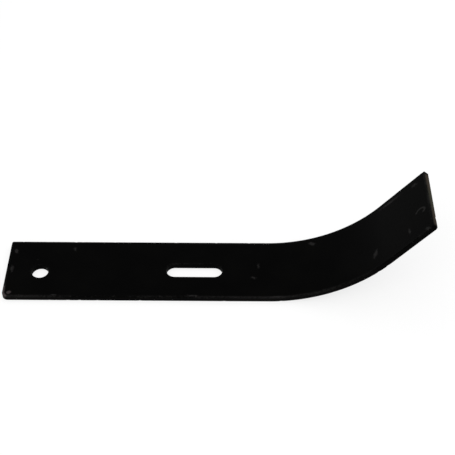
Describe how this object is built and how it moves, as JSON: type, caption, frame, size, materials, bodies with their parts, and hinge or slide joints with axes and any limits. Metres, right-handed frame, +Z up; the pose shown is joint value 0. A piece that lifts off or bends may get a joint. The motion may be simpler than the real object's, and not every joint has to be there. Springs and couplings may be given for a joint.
{
  "type": "rotary tiller blade",
  "caption": "Flat steel strap blade with a bolt hole at one end, a lengthwise adjusting slot and a long curved, turned-up tip, painted black.",
  "frame": {"origin": "centre of the bolt hole, on the blade's underside", "axes": "+Y along the straight shank from the bolt hole towards the curved tip, +Z up through the steel to the side that the tip rises to, +X towards the near edge, which is the edge with the worn corner"},
  "size_m": [0.065, 0.3605, 0.0927],
  "materials": {
    "black_paint": "satin black paint over steel"
  },
  "bodies": {
    "root": {"tiller_blade": "black_paint"}
  },
  "joints": []
}
